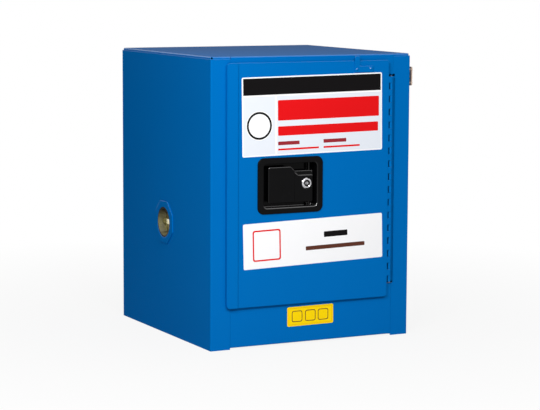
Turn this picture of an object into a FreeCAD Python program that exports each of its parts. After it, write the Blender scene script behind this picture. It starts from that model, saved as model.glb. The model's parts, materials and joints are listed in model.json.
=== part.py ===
import FreeCAD, Part
import math
import os

V = FreeCAD.Vector

# Countertop safety cabinet: a double-walled steel box with one hinged door.
# X runs to the right, Y to the back and Z up; the front faces -Y.
# The origin is the middle of the underside, on the surface the cabinet stands on.
# All sizes are millimetres.

# Shell
shell_width = 432.0
shell_depth = 432.0
shell_height = 559.0
sheet = 1.2
bend = 1.5
seam = 0.3
post_left = 41.0
post_right = 38.2
back_flange = 20.0
top_reveal = 4.5
kick_lift = 3.0
base_setback = 30.0
kick_tab_lap = 4.0
lip_height = 15.0

# Door opening and the hollow wall behind it
sill_height = 91.0
header_drop = 40.5
jamb_depth = 26.0
back_air_gap = 36.6
sump_floor_height = 40.0

# Shelf, its uprights and clips
shelf_height = 300.0
shelf_lip = 20.0
shelf_sheet = 1.0
shelf_side_gap = 1.0
shelf_front_setback = 56.0
shelf_back_gap = 10.8
upright_width = 20.0
upright_depth = 4.0
upright_bottom = 110.0
upright_top = 500.0
upright_from_front = 96.0
upright_from_back = 106.0
slot_pitch = 38.1
slot_height = 12.0
slot_width = 4.0
clip_reach = 8.0
clip_width = 16.0
clip_plate = 2.0

# Hinge
hinge_length = 406.4
hinge_bottom = 108.5
knuckle_length = 12.7
knuckle_gap = 0.15
hinge_pin_radius = 1.5875
hinge_clearance = 0.05
hinge_leaf = 1.5
hinge_inset = 6.0
hinge_stand_off = 3.5
hinge_relief = 0.5
hinge_edge_strip = 1.0
hinge_slot_width = 10.1
hinge_slot_end_gap = 4.5
hinge_foot_gap = 2.5
hinge_head_rise = 0.5
hinge_head_height = 1.0
slot_backing_depth = 2.7
slot_backing_lap = 3.0
frame_leaf_reach = 23.5
door_leaf_reach = 19.0

# Door
door_proud = 7.0
door_overlap_left = 10.7
door_to_pin = 7.6
door_below_sill = 10.5
door_above_opening = 28.5
door_corner = 6.0
door_margin = 22.4
margin_rise = 1.5
margin_ramp = 3.0
pan_clearance = 0.2
tray_gap_left = 4.5
tray_gap_ends = 5.0
tray_flange_right = 13.4
tray_corner = 8.0
tray_depth = 32.0

# Latch dish
dish_from_door_edge = 134.3
dish_centre_height = 311.6
dish_width = 140.2
dish_height = 107.8
dish_corner = 13.0
dish_flange = 2.5
dish_edge_round = 1.5
well_width = 114.0
well_height = 84.0
well_corner = 7.0
well_depth = 22.5
well_wall = 1.5
well_mouth_round = 2.2
cutout_clearance = 1.0
rear_slot_margin = 2.0
stud_inset = 6.5
stud_radius = 2.0
stud_length = 9.0
nut_thickness = 3.2
nut_flats = 7.0

# Paddle
pivot_from_well_side = 10.6
pivot_behind_dish_face = 14.5
pivot_radius = 2.0
pivot_clearance = 0.05
hub_radius = 3.6
grip_setback = 4.5
grip_thickness = 3.0
grip_edge_round = 1.4
grip_corner = 3.0
plate_setback = 2.0
grip_side_gap = 11.3
grip_top_gap = 6.6
grip_bottom_gap = 8.0
grip_width = 57.0
shoulder_run = 9.0
plate_top_drop = 8.6
plate_past_pivot = 5.0
plate_corner = 8.0
plate_edge_round = 1.2
plate_lap = 4.0
pad_rise = 1.0
pad_top_drop = 17.6
pad_slant_run = 8.0
pad_slant_drop = 6.0
pad_edge_round = 0.8
drive_height_in_dish = -20.0
drive_length = 15.0
drive_tip_radius = 2.5
drive_thickness = 8.0
drive_finger = 3.0
drive_finger_gap = 0.5
lower_ear = 14.0
upper_ear = 12.0
upper_ear_height_in_dish = 20.0
paddle_swing = 25.0

# Paddle return spring
spring_wire = 1.0
spring_turns = 4
spring_pitch = 1.5
spring_mean_radius = 3.2

# Key lock
lock_from_pivot = 9.5
lock_height_in_dish = 2.0
lock_face_radius = 10.5
lock_face_thickness = 3.0
lock_face_chamfer = 1.6
lock_dish_radius = 7.6
lock_dish_depth = 1.4
lock_body_radius = 7.0
lock_body_length = 13.0
lock_nut_radius = 9.0
lock_nut_thickness = 3.0
lock_plug_radius = 5.0
lock_clearance = 0.05
keyhole_width = 1.6
keyhole_height = 7.0
keyhole_depth = 6.0
cam_length = 18.0
cam_width = 8.0
cam_thickness = 2.0
cam_behind_well = 0.5
cam_notch_margin = 4.0
cam_swing_margin = 4.5
lock_tail_radius = 3.0
lock_tail_length = 3.0

# Rocker and bolt
rocker_arm_up = 15.0
rocker_arm_down = 24.0
rocker_thickness = 2.5
rocker_pin_radius = 2.5
rocker_drive_gap = 0.3
rocker_half_width = 4.5
rocker_stud_radius = 3.0
rocker_stud_shoulder = 1.5
rocker_stud_end = 1.5
rocker_clip_width = 2.0
rocker_clip_thickness = 0.95
rocker_clearance = 0.05
rocker_pin_inset = 0.5
bolt_radius = 5.0
bolt_clearance = 0.05
bolt_axis_behind_front = 21.0
bolt_tip_past_jamb = 5.5
bolt_tail_length = 18.0
bolt_tail_thickness = 3.0
bolt_tail_inset = 1.0
bolt_tail_step = 3.0
bolt_tail_lap = 2.0
bolt_tail_corner = 2.0
bolt_nose_round = 3.0
bolt_slot_play = 0.4
bolt_slot_extra = 3.0
bolt_bracket_margin = 6.0
bolt_bracket_from_edge = 85.1
bolt_collar_from_bracket = 24.5
bolt_collar_thickness = 4.0
bolt_collar_radius = 7.5
bolt_spring_wire = 1.2
bolt_spring_turns = 7
bolt_spring_mean_radius = 6.6
bush_radius = 7.3
bush_flange_radius = 8.8
bush_flange = 0.8
bush_length = 12.0
strike_thickness = 1.5
strike_depth = 28.0
strike_height = 50.0
strike_hole_radius = 6.5
strike_corner = 3.0
strike_screw_inset = 6.0
strike_screw_neck = 1.8
strike_screw_head = 3.3

# Side vents
vent_height = 223.0
vent_flats = 83.0
vent_flange = 2.5
vent_sides = 8
vent_corner = 2.0
vent_bore_radius = 30.0
vent_tube_wall = 3.3
vent_shoulder_depth = 18.0
vent_shoulder = 2.0
vent_shoulder_radius = 25.0
plug_clearance = 0.05
plug_recess = 0.5
plug_wall = 2.8
plug_floor_depth = 13.0
plug_floor = 3.0
plug_bar_width = 10.0
plug_bar_height = 5.0
plug_bar_bite = 0.5
gasket_gap = 0.3
gasket_side_gap = 0.5
screen_thickness = 2.0
screen_hole_radius = 2.6
screen_hole_pitch = 8.0
screen_rim = 2.5

# Fusible link and the bracket on the door
link_height = 513.5
link_from_front = 12.0
link_length = 37.0
link_width = 12.0
link_plate = 2.0
link_stand_off = 7.0
link_corner = 3.0
link_boss_radius = 4.5
link_boss_top = 3.0
link_boss_height = 1.4
link_screw_spread = 26.0
link_post_radius = 3.0
link_screw_radius = 2.0
link_screw_head = 3.2
link_screw_head_height = 2.2
bracket_left = 86.7
bracket_bottom = 524.5
bracket_foot = 41.0
bracket_arm_width = 11.6
bracket_foot_height = 12.0
bracket_top = 556.5
bracket_plate = 2.0
bracket_corner = 1.5
bracket_inner_corner = 2.0
bracket_arm_flat = 0.5
rivet_radius = 1.6
rivet_head_radius = 2.8
rivet_head_height = 1.2
rivet_head_top = 1.54
rivet_tail_radius = 2.52
rivet_tail_height = 1.0
rivet_from_foot_end = 5.0

# Stickers
sticker_thickness = 0.2
upper_sticker = (303.6, 150.8)
upper_sticker_centre = (-2.5, 446.0)
upper_sticker_tilt = 0.8
lower_sticker = (303.6, 87.6)
lower_sticker_centre = (1.0, 200.3)
lower_sticker_tilt = 1.3
kick_sticker = (101.0, 38.0)
kick_sticker_centre = (-2.0, 54.1)
kick_sticker_tilt = 0.4
sticker_corner = 3.0

# Earth stud
earth_from_side = 66.0
earth_height = 60.0
earth_radius = 4.0
earth_hole_radius = 4.3
earth_flats = 13.0
earth_head = 5.2
earth_nut = 6.5
earth_washer_radius = 8.0
earth_washer = 1.6
earth_neck_radius = 3.6
earth_neck_past_nut = 1.0
earth_free_length = 9.0

# Planes worked out from the sizes above; a cut reaches past the face it starts from
left = -shell_width / 2
right = shell_width / 2
front = -shell_depth / 2
back = shell_depth / 2
half_sheet = sheet / 2
past = 1.0
post_left_edge = left + post_left
post_right_edge = right - post_right
side_top = shell_height - top_reveal
opening_top = shell_height - header_drop
pin_x = post_right_edge - hinge_inset
pin_y = front - hinge_stand_off
knuckle_radius = hinge_pin_radius + hinge_clearance + hinge_leaf
jamb_left = post_left_edge
jamb_right = pin_x + knuckle_radius
liner_back = back - 3 * sheet - back_air_gap
liner_top = opening_top + sheet
sill_back = front + jamb_depth
door_left = post_left_edge - door_overlap_left
door_right = pin_x - door_to_pin
door_bottom = sill_height - door_below_sill
door_top = opening_top + door_above_opening
door_front = front - door_proud
door_back = pin_y + knuckle_radius - hinge_leaf
tray_left = jamb_left + tray_gap_left
tray_right = door_right - tray_flange_right
tray_bottom = sill_height + tray_gap_ends
tray_top = opening_top - tray_gap_ends
tray_back = door_back + tray_depth
dish_x = door_left + dish_from_door_edge
dish_z = dish_centre_height
dish_face = door_front - dish_flange
well_left = dish_x - well_width / 2
well_right = dish_x + well_width / 2
well_bottom = dish_z - well_height / 2
well_top = dish_z + well_height / 2
well_floor = dish_face + well_depth
well_back = well_floor + well_wall
pivot_x = well_right - pivot_from_well_side
pivot_y = dish_face + pivot_behind_dish_face
drive_z = dish_z + drive_height_in_dish
lock_x = pivot_x - lock_from_pivot
lock_z = dish_z + lock_height_in_dish
grip_front = dish_face + grip_setback
plate_front = grip_front + plate_setback
plate_back = plate_front + grip_thickness
cam_front = well_back + cam_behind_well
rocker_x = pivot_x - drive_tip_radius - rocker_pin_radius - rocker_drive_gap
rocker_z = drive_z - rocker_arm_up
bolt_z = rocker_z - rocker_arm_down
bolt_y = front + bolt_axis_behind_front
rocker_front = pivot_y + drive_length + drive_tip_radius + drive_finger_gap
rocker_back = rocker_front + rocker_thickness
rocker_pin_front = bolt_y - bolt_radius + rocker_pin_inset
bolt_tip_x = jamb_left - bolt_tip_past_jamb
bolt_bracket_x = door_left + bolt_bracket_from_edge
bolt_collar_x = bolt_bracket_x - bolt_collar_from_bracket - bolt_collar_thickness
swing = math.radians(paddle_swing)
vent_tube_radius = vent_bore_radius + vent_tube_wall
plug_radius = vent_bore_radius - plug_clearance
shelf_bottom = shelf_height - shelf_lip


def box(x0, x1, y0, y1, z0, z1):
    """A block between two corners."""
    return Part.makeBox(x1 - x0, y1 - y0, z1 - z0, V(x0, y0, z0))


def rod(radius, start, end):
    """A round bar from one point to another."""
    way = end - start
    return Part.makeCylinder(radius, way.Length, start, way)


def ring(outer, inner, start, end):
    """A round tube from one point to another."""
    return rod(outer, start, end).cut(rod(inner, start, end))


def joined(shapes):
    """One solid from shapes that overlap or share a face."""
    whole = shapes[0]
    for shape in shapes[1:]:
        whole = whole.fuse(shape)
    return whole.removeSplitter()


def unit(way):
    """A direction one long."""
    return V(way.x, way.y, way.z).normalize()


PLANES = {
    "xy": (lambda u, v, w: V(u, v, w), V(0, 0, 1)),
    "xz": (lambda u, v, w: V(u, w, v), V(0, 1, 0)),
    "yz": (lambda u, v, w: V(w, u, v), V(1, 0, 0)),
}


def drawn(groups, plane, low, high):
    """A solid drawn along a plane's normal: a group is one point, or the three points of an arc."""
    place, along = PLANES[plane]
    spots = [[place(p.x, p.y, low) for p in group] for group in groups]
    edges = []
    for before, group in zip(spots[-1:] + spots[:-1], spots):
        if before[-1].distanceToPoint(group[0]) > 1e-6:
            edges.append(Part.LineSegment(before[-1], group[0]).toShape())
        if len(group) == 3:
            edges.append(Part.Arc(*group).toShape())
    return Part.Face(Part.Wire(edges)).extrude(along * (high - low))


def folded(path, plane, low, high, thickness=sheet, radius=bend):
    """Bent sheet: the middle line of its section, rounded at each fold, made thick and drawn along."""
    half = thickness / 2
    points = [V(u, v, 0) for u, v in path]
    sides = {1: [], -1: []}
    for i, point in enumerate(points):
        step_in = unit(point - points[i - 1]) if i else unit(points[1] - point)
        step_out = unit(points[i + 1] - point) if i < len(points) - 1 else step_in
        normal_in = V(-step_in.y, step_in.x, 0)
        normal_out = V(-step_out.y, step_out.x, 0)
        turn = 1 if step_in.cross(step_out).z > 0 else -1
        reach = radius * math.tan(step_in.getAngle(step_out) / 2)
        centre = point - step_in * reach + normal_in * (radius * turn)
        for side in sides:
            if i in (0, len(points) - 1):
                sides[side].append([point + normal_in * (half * side)])
                continue
            start = point - step_in * reach + normal_in * (half * side)
            end = point + step_out * reach + normal_out * (half * side)
            middle = centre + unit(point - centre) * (radius - half * side * turn)
            sides[side].append([start, middle, end])
    returning = [group[::-1] for group in reversed(sides[-1])]
    return drawn(sides[1] + returning, plane, low, high)


def rounded(points, radii, plane, low, high):
    """A prism on a polygon, with its own radius at each corner."""
    spots = [V(u, v, 0) for u, v in points]
    groups = []
    for i, point in enumerate(spots):
        if not radii[i]:
            groups.append([point])
            continue
        to_last = unit(spots[i - 1] - point)
        to_next = unit(spots[(i + 1) % len(spots)] - point)
        half_angle = to_last.getAngle(to_next) / 2
        reach = radii[i] / math.tan(half_angle)
        centre = point + unit(to_last + to_next) * (radii[i] / math.sin(half_angle))
        middle = centre + unit(point - centre) * radii[i]
        groups.append([point + to_last * reach, middle, point + to_next * reach])
    return drawn(groups, plane, low, high)


def panel(u0, u1, v0, v1, radius, plane, low, high):
    """A rectangular plate with four round corners."""
    corners = [(u0, v0), (u1, v0), (u1, v1), (u0, v1)]
    return rounded(corners, [radius] * 4, plane, low, high)


def hexagon(flats, plane, centre, low, high):
    """A hexagonal prism, such as a nut."""
    reach = flats / math.sqrt(3)
    points = []
    for i in range(6):
        turn = math.radians(60 * i)
        points.append((centre[0] + reach * math.cos(turn), centre[1] + reach * math.sin(turn)))
    return rounded(points, [0] * 6, plane, low, high)


def bow(start, corner, end):
    """An arc from one point to another that runs in and out along lines through a corner."""
    middle = (start + end) / 2
    cosine = (end - start).Length / 2 / (corner - start).Length
    return Part.Arc(start, middle + (corner - middle) * (cosine / (1 + cosine)), end).toShape()


def coil(mean_radius, wire, turns, pitch, start, way):
    """A helical spring along a direction: each half turn is two arcs that join smoothly."""
    edges = []
    ends = []
    for i in range(2 * turns + 1):
        sign = 1 - 2 * (i % 2)
        along = unit(V(0, sign * math.tau * mean_radius, pitch))
        ends.append((V(sign * mean_radius, 0, pitch * i / 2), along))
    for (first, out), (last, into) in zip(ends, ends[1:]):
        span = last - first
        both = span.dot(out + into)
        spread = 2 * (1 - out.dot(into))
        reach = (math.sqrt(both ** 2 + spread * span.dot(span)) - both) / spread
        near = first + out * reach
        far = last - into * reach
        joint = (near + far) / 2
        edges.append(bow(first, near, joint))
        edges.append(bow(joint, far, last))
    section = Part.Wire(Part.makeCircle(wire / 2, *ends[0]))
    path = Part.Wire(edges)
    spring = path.makePipeShell([section], True, False)
    print("spring", turns, "turns, least gap between turns", round(pitch - wire, 3))
    spring.Placement = FreeCAD.Placement(start, FreeCAD.Rotation(V(0, 0, 1), way))
    return Part.Solid(spring) if spring.ShapeType == "Shell" else spring


def outer_edges(shape, level):
    """The edges that lie in the plane y = level."""
    found = []
    for edge in shape.Edges:
        if edge.BoundBox.YLength < 1e-6 and abs(edge.BoundBox.YMin - level) < 1e-6:
            found.append(edge)
    return found


# Side panels

def vent_axis(side, depth):
    """A point on a vent's axis: depth is measured inwards from the side of the shell."""
    return V(side * (shell_width / 2 - depth), 0, vent_height)


def side_panel(side):
    """One side of the shell, folded round the front as a post and round the back as a flange."""
    outer = side * shell_width / 2
    middle = outer - side * half_sheet
    post_edge = post_left_edge if side < 0 else post_right_edge
    path = [
        (outer - side * back_flange, back - half_sheet),
        (middle, back - half_sheet),
        (middle, front + half_sheet),
        (post_edge, front + half_sheet),
    ]
    plate = folded(path, "xy", 0, side_top)
    plate = plate.cut(rod(vent_tube_radius, vent_axis(side, -sheet), vent_axis(side, 2 * sheet)))
    if side > 0:
        slot = box(
            pin_x, pin_x + hinge_slot_width, front - sheet, front + 2 * sheet,
            hinge_bottom - hinge_foot_gap, hinge_bottom + hinge_length + hinge_slot_end_gap,
        )
        plate = plate.cut(slot)
    return plate


# Front, top, back and bottom of the shell

def kick_panel():
    """The panel under the door: the sill at its top, a foot to the base, a tab up to the hinge."""
    level = sill_height - half_sheet
    foot = kick_lift + half_sheet
    path = [
        (front + base_setback, foot), (front + half_sheet, foot), (front + half_sheet, level),
        (sill_back, level),
    ]
    inside = folded(path, "yz", jamb_left + seam, jamb_right)
    edge_strip = box(
        jamb_right - sheet, post_right_edge - seam, front, front + sheet, kick_lift, sill_height
    )
    tab = box(
        door_right - kick_tab_lap, post_right_edge - seam, front, front + sheet,
        sill_height - 2 * bend - sheet, hinge_bottom - hinge_foot_gap,
    )
    return joined([inside, edge_strip, tab])


def top_panel():
    """The top, with the header over the door folded down at the front and lips inside the other walls."""
    roof = shell_height - half_sheet
    lip_bottom = side_top - lip_height + top_reveal
    side_x = right - sheet - half_sheet
    lip_front = front + sheet + half_sheet
    lip_back = back - 2 * sheet - half_sheet
    flat = bend + sheet
    across = [(-side_x, lip_bottom), (-side_x, roof), (side_x, roof), (side_x, lip_bottom)]
    crown = folded(across, "xz", lip_front + flat, lip_back - flat)
    header_path = [
        (sill_back, opening_top + half_sheet),
        (front + half_sheet, opening_top + half_sheet),
        (front + half_sheet, roof),
        (lip_front + 2 * flat, roof),
    ]
    header = folded(header_path, "yz", jamb_left + seam, jamb_right)
    strip_path = header_path[2:]
    strip_path = [(front + half_sheet, opening_top)] + strip_path
    header_strip = folded(strip_path, "yz", jamb_right - sheet, post_right_edge - seam)
    pieces = [crown, header, header_strip]
    front_lip = [(lip_front, lip_bottom), (lip_front, roof), (lip_front + 2 * flat, roof)]
    back_lip = [(lip_back, lip_bottom), (lip_back, roof), (lip_back - 2 * flat, roof)]
    inner = side_x - flat
    pieces.append(folded(front_lip, "yz", -inner, jamb_left - seam))
    pieces.append(folded(front_lip, "yz", post_right_edge + seam, inner))
    pieces.append(folded(back_lip, "yz", -inner, inner))
    return joined(pieces)


def back_panel():
    """The outer back, flat, inside the flanges of the side panels."""
    edge = sheet + bend
    plate = box(left + edge, right - edge, back - 2 * sheet, back - sheet, sheet + seam, side_top)
    stud = V(right - earth_from_side, 0, earth_height)
    hole = rod(earth_hole_radius, stud + V(0, back - 3 * sheet, 0), stud + V(0, back, 0))
    return plate.cut(hole)


def base_panel():
    """The outer bottom, with a lip turned up against each wall."""
    side_x = right - sheet - half_sheet
    across = [(-side_x, lip_height), (-side_x, half_sheet), (side_x, half_sheet), (side_x, lip_height)]
    flat = bend + sheet
    front_y = front + base_setback
    back_y = back - 2 * sheet
    pieces = [folded(across, "xz", front_y + flat, back_y - flat)]
    for edge, way in ((front_y + half_sheet, 1), (back_y - half_sheet, -1)):
        lip = [(edge, lip_height), (edge, half_sheet), (edge + way * 2 * flat, half_sheet)]
        pieces.append(folded(lip, "yz", -side_x + flat, side_x - flat))
    return joined(pieces)


# Inner walls

def liner_side(side):
    """One inner side wall, with its vent's hole. The right one has a flange behind the hinge slot."""
    face = jamb_left if side < 0 else jamb_right
    x0 = min(face, face + side * sheet)
    plate = box(x0, x0 + sheet, front + sheet, liner_back + sheet, sump_floor_height, liner_top)
    axis = V(x0, 0, vent_height)
    plate = plate.cut(rod(vent_shoulder_radius, axis - V(sheet, 0, 0), axis + V(2 * sheet, 0, 0)))
    if side < 0:
        bolt = V(x0, bolt_y, bolt_z)
        plate = plate.cut(rod(strike_hole_radius, bolt - V(sheet, 0, 0), bolt + V(2 * sheet, 0, 0)))
        return plate
    y0 = front + slot_backing_depth
    flange = box(
        face, pin_x + hinge_slot_width + slot_backing_lap, y0, y0 + sheet,
        hinge_bottom, hinge_bottom + hinge_length,
    )
    return joined([plate, flange])


def liner_back_panel():
    """The inner back wall."""
    return box(jamb_left, jamb_right, liner_back, liner_back + sheet, sump_floor_height, liner_top)


def liner_top_panel():
    """The inner top, lying on the side walls and on the return of the header."""
    return box(
        jamb_left - sheet, jamb_right + sheet, front + sheet + bend, liner_back + sheet,
        liner_top, liner_top + sheet,
    )


def sump_pan():
    """The leakproof tray at the bottom, as high as the sill."""
    top = sill_height - sheet
    outer = panel(
        jamb_left, jamb_right, sill_back - sheet, liner_back, bend, "xy", sump_floor_height, top
    )
    inner = panel(
        jamb_left + sheet, jamb_right - sheet, sill_back, liner_back - sheet, bend - half_sheet,
        "xy", sump_floor_height + sheet, top + sheet,
    )
    return outer.cut(inner)


# Shelf and what carries it

def upright_places():
    """The middle of each upright: the face it stands on, the way into the cabinet, and its y."""
    front_y = front + upright_from_front
    back_y = back - upright_from_back
    return [(face, way, y) for face, way in ((jamb_left, 1), (jamb_right, -1)) for y in (front_y, back_y)]


def shelf_uprights():
    """Four slotted channels on the inner side walls."""
    channels = []
    for face, way, y in upright_places():
        half = upright_width / 2 - half_sheet
        web = face + way * (upright_depth - half_sheet)
        path = [(face, y - half), (web, y - half), (web, y + half), (face, y + half)]
        channel = folded(path, "xy", upright_bottom, upright_top, radius=bend - half_sheet)
        count = int((upright_top - upright_bottom - slot_height) // slot_pitch)
        start = slot_start()
        for i in range(count + 1):
            z = start + i * slot_pitch
            if z + slot_height < upright_top:
                x0 = min(web - sheet, web + sheet)
                slot = box(
                    x0, x0 + 2 * sheet, y - slot_width / 2, y + slot_width / 2, z, z + slot_height
                )
                channel = channel.cut(slot)
        channels.append(channel)
    return Part.makeCompound(channels)


def slot_start():
    """The lowest slot, so that one slot lies where the clips hook in."""
    below_shelf = shelf_bottom - clip_plate - slot_height
    steps = int((below_shelf - upright_bottom - slot_height / 2) // slot_pitch)
    return below_shelf - steps * slot_pitch


def shelf_clips():
    """Four hooks that carry the shelf."""
    clips = []
    z_top = shelf_bottom
    for face, way, y in upright_places():
        web = face + way * upright_depth
        half = clip_width / 2

        def block(a, b, half_width, z0, z1):
            """A block between two distances from the upright's face."""
            x0, x1 = sorted((web + way * a, web + way * b))
            return box(x0, x1, y - half_width, y + half_width, z0, z1)

        ledge = block(0, clip_reach, half, z_top - clip_plate, z_top)
        plate = block(0, clip_plate, half, z_top - clip_plate - slot_height, z_top)
        tongue_half = slot_width / 2 - seam
        tongue = block(-sheet - clip_plate, clip_plate, tongue_half,
                       z_top - clip_plate - slot_height + seam, z_top - clip_plate - seam)
        clips.append(joined([ledge, plate, tongue]))
    return Part.makeCompound(clips)


def shelf():
    """A lift-off tray shelf with lips turned down all round."""
    x0 = jamb_left + upright_depth + shelf_side_gap
    x1 = jamb_right - upright_depth - shelf_side_gap
    y0 = front + shelf_front_setback
    y1 = liner_back - shelf_back_gap
    outer = panel(x0, x1, y0, y1, bend, "xy", shelf_bottom, shelf_height)
    outer = outer.makeFillet(bend, top_loop(outer, shelf_height))
    inner = panel(
        x0 + shelf_sheet, x1 - shelf_sheet, y0 + shelf_sheet, y1 - shelf_sheet, bend - shelf_sheet,
        "xy", shelf_bottom - shelf_sheet, shelf_height - shelf_sheet,
    )
    return outer.cut(inner)


def top_loop(shape, level):
    """The edges that lie in the plane z = level."""
    found = []
    for edge in shape.Edges:
        if edge.BoundBox.ZLength < 1e-6 and abs(edge.BoundBox.ZMin - level) < 1e-6:
            found.append(edge)
    return found


# Hinge

def knuckles(first):
    """The bottom and top of every second knuckle, from the first one given."""
    count = int(round(hinge_length / knuckle_length))
    spans = []
    for i in range(first, count, 2):
        z = hinge_bottom + i * knuckle_length
        spans.append((z + knuckle_gap, z + knuckle_length - knuckle_gap))
    return spans


def knuckle(z0, z1):
    """One rolled knuckle round the hinge pin."""
    start = V(pin_x, pin_y, z0)
    end = V(pin_x, pin_y, z1)
    return ring(knuckle_radius, hinge_pin_radius + hinge_clearance, start, end)


def hinge_frame_leaf():
    """The leaf on the jamb, with the knuckles that stay still."""
    x1 = pin_x + knuckle_radius
    x0 = x1 - hinge_leaf
    clear = pin_y + knuckle_radius + hinge_relief
    y1 = front + frame_leaf_reach
    pieces = [box(x0, x1, clear, y1, hinge_bottom, hinge_bottom + hinge_length)]
    for z0, z1 in knuckles(0):
        pieces.append(box(x0, x1, pin_y, clear, z0, z1))
        pieces.append(knuckle(z0, z1))
    return joined(pieces)


def hinge_door_leaf():
    """The leaf round the door's edge, with tabs at its front to the knuckles that swing."""
    y1 = pin_y + knuckle_radius
    y0 = y1 - hinge_leaf
    x_edge = door_right + hinge_edge_strip
    tab_front = pin_y - knuckle_radius
    top = hinge_bottom + hinge_length
    pieces = [
        box(pin_x - door_leaf_reach, x_edge, y0, y1, hinge_bottom, top),
        box(door_right, x_edge, tab_front, y1, hinge_bottom, top),
    ]
    for z0, z1 in knuckles(1):
        pieces.append(box(x_edge, pin_x, tab_front, tab_front + hinge_leaf, z0, z1))
        pieces.append(knuckle(z0, z1))
    return joined(pieces)


def hinge_pin():
    """The long pin, with a small head at each end."""
    low = hinge_bottom
    high = hinge_bottom + hinge_length
    head = hinge_pin_radius + hinge_head_rise
    shaft = rod(hinge_pin_radius, V(pin_x, pin_y, low), V(pin_x, pin_y, high))
    foot = rod(head, V(pin_x, pin_y, low - hinge_head_height), V(pin_x, pin_y, low))
    cap = rod(head, V(pin_x, pin_y, high), V(pin_x, pin_y, high + hinge_head_height))
    return joined([shaft, foot, cap])


# Door

def door_block(inset, level):
    """The door's outline, taken in by a distance, from a face level back to its rim."""
    x0 = door_left + inset
    x1 = door_right - inset
    step = door_left + door_margin
    face = level
    raised = level - margin_rise
    profile = [
        (x0, raised), (step, raised), (step + margin_ramp, face), (x1, face),
        (x1, door_back), (x0, door_back),
    ]
    plate = rounded(profile, [0] * 6, "xy", door_bottom + inset, door_top - inset)
    limit = panel(
        x0, x1, door_bottom + inset, door_top - inset, door_corner - inset, "xz",
        raised - sheet, door_back + sheet,
    )
    return plate.common(limit)


def door_skin():
    """The outer door sheet: a shallow pan with a slightly raised margin on the latch side."""
    rim = well_wall + cutout_clearance
    cutout = box(
        well_left - rim, well_right + rim, door_front - sheet, door_back + sheet,
        well_bottom - rim, well_top + rim,
    )
    skin = door_block(0, door_front).cut(door_block(sheet, door_front + sheet))
    skin = skin.cut(cutout)
    for x, z in stud_places():
        skin = skin.cut(rod(stud_radius + seam, V(x, door_front - sheet, z), V(x, door_back, z)))
    for x, z in rivet_places():
        skin = skin.cut(rod(rivet_radius, V(x, door_front - sheet, z), V(x, door_back, z)))
    return skin


def door_inner_pan():
    """The inner door sheet: a deep tray with a rim that lies inside the outer one."""
    rim = sheet + pan_clearance
    flange = panel(
        door_left + rim, door_right - rim, door_bottom + rim, door_top - rim,
        door_corner - rim, "xz", door_back - sheet, door_back,
    )
    outer = panel(tray_left, tray_right, tray_bottom, tray_top, tray_corner, "xz", door_back, tray_back)
    inner = panel(
        tray_left + sheet, tray_right - sheet, tray_bottom + sheet, tray_top - sheet,
        tray_corner - sheet, "xz", door_back - 2 * sheet, tray_back - sheet,
    )
    tray = joined([flange, outer]).cut(inner)
    bush = V(tray_left, bolt_y, bolt_z)
    return tray.cut(rod(bush_radius, bush - V(sheet, 0, 0), bush + V(2 * sheet, 0, 0)))


# Latch dish and its fixings

def stud_places():
    """The four studs near the corners of the dish."""
    dx = dish_width / 2 - stud_inset
    dz = dish_height / 2 - stud_inset
    return [(dish_x + sx * dx, dish_z + sz * dz) for sx in (-1, 1) for sz in (-1, 1)]


def latch_dish():
    """The black pan: a raised frame, a deep well, four studs and the stud the rocker turns on."""
    frame = panel(
        dish_x - dish_width / 2, dish_x + dish_width / 2, dish_z - dish_height / 2,
        dish_z + dish_height / 2, dish_corner, "xz", dish_face, door_front,
    )
    frame = frame.makeFillet(dish_edge_round, outer_edges(frame, dish_face))
    well = panel(
        well_left - well_wall, well_right + well_wall, well_bottom - well_wall,
        well_top + well_wall, well_corner + well_wall, "xz", dish_face + dish_flange, well_back,
    )
    hollow = panel(
        well_left, well_right, well_bottom, well_top, well_corner, "xz", dish_face - past, well_floor
    )
    pan = joined([frame, well]).cut(hollow)
    mouth = [
        edge for edge in outer_edges(pan, dish_face)
        if edge.BoundBox.XMin > well_left - seam and edge.BoundBox.XMax < well_right + seam
    ]
    pan = pan.makeFillet(well_mouth_round, mouth)
    for x, z in stud_places():
        pan = pan.fuse(rod(stud_radius, V(x, door_front, z), V(x, door_front + stud_length, z)))
    pin_ends = rod(
        pivot_radius, V(pivot_x, pivot_y, well_bottom - 2 * well_wall),
        V(pivot_x, pivot_y, well_top + 2 * well_wall),
    )
    pan = pan.cut(pin_ends)
    reach = drive_length * math.sin(swing) + drive_tip_radius
    drive_half = drive_thickness / 2 + rear_slot_margin
    drive_slot = box(
        pivot_x - reach - rear_slot_margin, pivot_x + drive_tip_radius + rear_slot_margin,
        well_floor - past, well_back + past, drive_z - drive_half, drive_z + drive_half,
    )
    cam_slot = box(
        lock_x - cam_width / 2 - cam_notch_margin - cam_swing_margin,
        lock_x + cam_width / 2 + cam_notch_margin, well_floor - past, well_back + past,
        lock_z - lock_body_radius - past, lock_z + cam_length + cam_notch_margin,
    )
    pan = pan.cut(drive_slot).cut(cam_slot)
    stud_root = V(rocker_x, well_floor + well_wall / 2, rocker_z)
    rocker_stud = rod(rocker_stud_radius, stud_root, V(rocker_x, rocker_back + rocker_stud_end, rocker_z))
    shoulder = rod(
        rocker_stud_radius + rocker_stud_shoulder, stud_root,
        V(rocker_x, rocker_front - rocker_clearance, rocker_z),
    )
    return joined([pan, rocker_stud, shoulder])


def rocker_clip():
    """The ring that keeps the rocker on its stud."""
    start = V(rocker_x, rocker_back + rocker_clearance, rocker_z)
    end = start + V(0, rocker_clip_thickness, 0)
    return ring(rocker_stud_radius + rocker_clip_width, rocker_stud_radius, start, end)


def dish_nuts():
    """Four nuts that hold the dish to the outer door sheet."""
    nuts = []
    for x, z in stud_places():
        low = door_front + sheet
        nut = hexagon(nut_flats, "xz", (x, z), low, low + nut_thickness)
        nuts.append(nut.cut(rod(stud_radius, V(x, low - past, z), V(x, low + nut_thickness + past, z))))
    return Part.makeCompound(nuts)


# Paddle

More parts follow.
